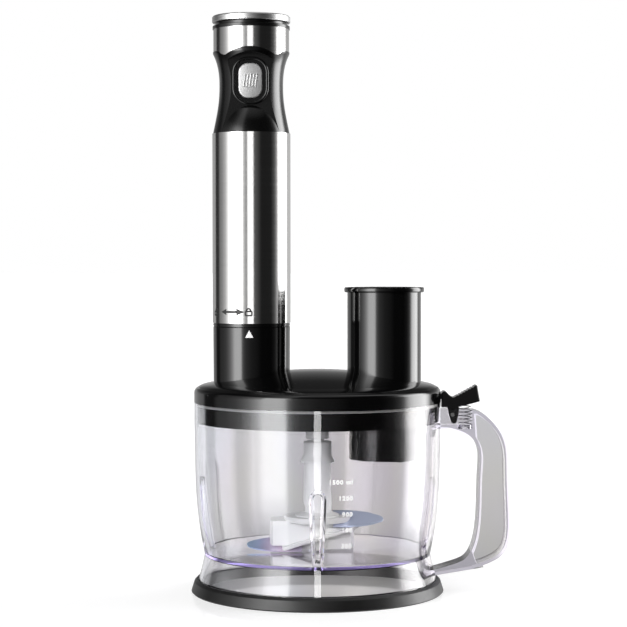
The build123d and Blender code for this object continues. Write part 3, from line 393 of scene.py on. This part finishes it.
def make_lamp(name, centre, width, height, radiance, receivers, glossy=True, diffuse=True):
    """Upright area lamp that faces the object and lights only some of its nodes."""
    data = bpy.data.lights.new(name, "AREA")
    data.shape = "RECTANGLE"
    data.size, data.size_y = width, height
    data.energy = radiance * pi * width * height
    lamp = bpy.data.objects.new(name, data)
    lamp.location = centre
    lamp.rotation_euler = (pi / 2, 0, 0)
    bpy.context.scene.collection.objects.link(lamp)
    lamp.visible_camera = False
    lamp.visible_transmission = False
    lamp.visible_glossy = glossy
    lamp.visible_diffuse = diffuse
    linked = bpy.data.collections.new(name)
    for receiver in receivers:
        linked.objects.link(NODES[receiver])
    lamp.light_linking.receiver_collection = linked


def make_camera():
    data = bpy.data.cameras.new("camera")
    camera = bpy.data.objects.new("camera", data)
    bpy.context.scene.collection.objects.link(camera)
    data.sensor_width = 36.0
    data.lens = CAMERA_LENS
    pitch_down, roll = 1.68, -0.05
    camera.location = CAMERA_PLACE
    turn = Matrix.Rotation(radians(90 - pitch_down), 4, "X") @ Matrix.Rotation(radians(roll), 4, "Z")
    camera.rotation_euler = turn.to_euler()
    bpy.context.scene.camera = camera


def set_up_studio():
    scene = bpy.context.scene
    scene.view_settings.view_transform = "Standard"
    scene.cycles.caustics_refractive = False
    scene.cycles.caustics_reflective = False
    scene.cycles.max_bounces = 24
    scene.cycles.transmission_bounces = 24
    scene.cycles.transparent_max_bounces = 32
    scene.cycles.glossy_bounces = 8
    make_world()
    make_floor()
    make_lamp("front_strip", (-0.075, -1.1, 0.35), 0.33, 0.9, 1.9, ["barrel_sleeve", "upper_band"],
              diffuse=False)
    make_lamp("bowl_strip", (0.0, -1.1, 0.2), 0.12, 0.9, 10.0, ["bowl"], diffuse=False)
    make_lamp("tower_fill", (0.0, -1.2, 0.12), 1.0, 1.0, 4.6,
              ["blade_tower", "output_shaft", "upper_blade", "lower_blade"], glossy=False)
    make_camera()


# ---------------------------------------------------------------- prints and spring
LINE_SHARE = 0.22         # padlock's line width as a share of its size
PRINT_LIFT = 0.1          # height of the ink over its wall, in millimetres
RAY_START = 15            # where the search for the wall starts outside it, in millimetres
GRADUATION_RIGHT = 25.3
LETTER_HEIGHT, LETTER_DROP = 3.1, 1.5


def ink(name, colour, glow=0.0):
    """Matt printing ink; a little painted glow, light that ink does not give off, keeps light ink
    legible behind clear plastic.
    """
    g = new_graph(name)
    g.surface(base_color=rgb(*colour), roughness=0.5, ior=1.45,
              emission_color=rgb(*colour), emission_strength=glow)
    return g.owner


def strip(points, width):
    """Closed outline of a line of constant width through points, in (across, up)."""
    left, right = [], []
    for index, point in enumerate(points):
        before = Vector(points[max(index - 1, 0)])
        after = Vector(points[min(index + 1, len(points) - 1)])
        way = (after - before).normalized()
        side = Vector((-way.y, way.x)) * width / 2
        left.append(tuple(Vector(point) + side))
        right.append(tuple(Vector(point) - side))
    return left + right[::-1]


def padlock(across, up, size, opened):
    """Outlines of a padlock, its shackle lifted to one side if it is open."""
    half, body = 0.5 * size, 0.62 * size
    frame_line = [(-half, 0), (half, 0), (half, body), (-half, body), (-half, 0)]
    swing = 0.28 * size if opened else 0.0
    foot = body + swing * 0.3
    turns = [pi * step / 8 for step in range(9)]
    arc = [(swing + 0.34 * size * cos(turn), foot + 0.42 * size * sin(turn)) for turn in turns]
    line = LINE_SHARE * size
    outlines = [strip(frame_line[i:i + 2], line) for i in range(4)] + [strip(arc, line)]
    return [[(across + x, up + z) for x, z in outline] for outline in outlines]


def wrap_print(name, outlines, middle, radius, node, body, material, words=()):
    """Thin ink on an upright round wall.

    Outlines are in millimetres: along the wall from the front, and up. Words are a text, its right
    end, its foot and its height.
    """
    mesh = bpy.data.meshes.new(name)
    shape = bmesh.new()
    for outline in outlines:
        shape.faces.new([shape.verts.new((x, 0, z)) for x, z in outline])
    for text, right, up, tall in words:
        letters = bpy.data.curves.new(name + "_words", "FONT")
        letters.body = text
        letters.size = tall * 1.4
        letters.align_x = "RIGHT"
        letters.space_character = 1.25
        letters.offset = 0.06 * tall
        holder = bpy.data.objects.new(name + "_words", letters)
        flat = bpy.data.meshes.new_from_object(holder)
        flat.transform(Matrix.Translation((right, 0, up)) @ Matrix.Rotation(pi / 2, 4, "X"))
        shape.from_mesh(flat)
        bpy.data.objects.remove(holder)
    lowest = int(min(v.co.x for v in shape.verts)) - 1
    highest = int(max(v.co.x for v in shape.verts)) + 2
    for cut in range(lowest, highest):
        everything = shape.verts[:] + shape.edges[:] + shape.faces[:]
        bmesh.ops.bisect_plane(shape, geom=everything, plane_co=(cut, 0, 0), plane_no=(1, 0, 0))
    wall = BVHTree.FromObject(NODES[node], bpy.context.evaluated_depsgraph_get())
    for vertex in shape.verts:
        angle = vertex.co.x / radius
        outward = Vector((sin(angle), -cos(angle), 0))
        start = Vector((middle, 0, vertex.co.z)) * MM + outward * (radius + RAY_START) * MM
        hit = wall.ray_cast(start, -outward)[0]
        vertex.co = hit + outward * PRINT_LIFT * MM
    bmesh.ops.recalc_face_normals(shape, faces=shape.faces[:])
    shape.to_mesh(mesh)
    shape.free()
    mesh.materials.append(material)
    piece = bpy.data.objects.new(name, mesh)
    bpy.context.scene.collection.objects.link(piece)
    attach(piece, body)


def make_spring():
    """Latch spring as a copy of its coil, carried by the bowl in place of the original."""
    coil = bpy.data.objects.new("latch_coil", NODES["latch_spring"].data.copy())
    bpy.context.scene.collection.objects.link(coil)
    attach(coil, "bowl")
    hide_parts("latch_spring")
    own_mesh(coil)


def make_prints():
    """Pointer on the lid, turn arrow and padlocks on the barrel, graduations on the bowl."""
    # the white and grey inks carry a painted glow
    white = ink("print_white", (0.85, 0.85, 0.85), 0.4)
    dark = ink("print_dark", (0.02, 0.02, 0.02))
    grey = ink("print_grey", (0.85, 0.85, 0.85), 0.6)
    motor = MOTOR_X
    pointer = [[(-4.1, 196.4), (2.1, 196.4), (-1.0, 202.0)]]
    wrap_print("pointer", pointer, motor, 29.6, "coupling_collar", "lid", white)
    arrow = [
        [(-25.0, 215.8), (-19.6, 213.5), (-20.4, 215.8), (-19.6, 218.1)],
        [(-4.6, 215.8), (-11.4, 218.9), (-10.8, 215.8), (-11.4, 212.7)],
        [(-20.8, 215.05), (-10.4, 214.7), (-10.4, 216.9), (-20.8, 216.55)],
    ]
    wrap_print("turn_arrow", arrow, motor, 30.0, "barrel_sleeve", "motor_unit", dark)
    locks = padlock(-1.4, 213.2, 5.0, False) + padlock(-32.8, 213.2, 4.6, True)
    wrap_print("padlocks", locks, motor, 30.0, "barrel_sleeve", "motor_unit", dark)
    labels = [("1500 ml", 94.4), ("1200", 82.6), ("900", 70.8), ("600", 59.1), ("300", 47.3)]
    words = [(text, GRADUATION_RIGHT, up - LETTER_DROP, LETTER_HEIGHT) for text, up in labels]
    wrap_print("graduations", [], 0.0, 92.0, "bowl", "bowl", grey, words)


set_up_studio()
make_spring()
make_prints()
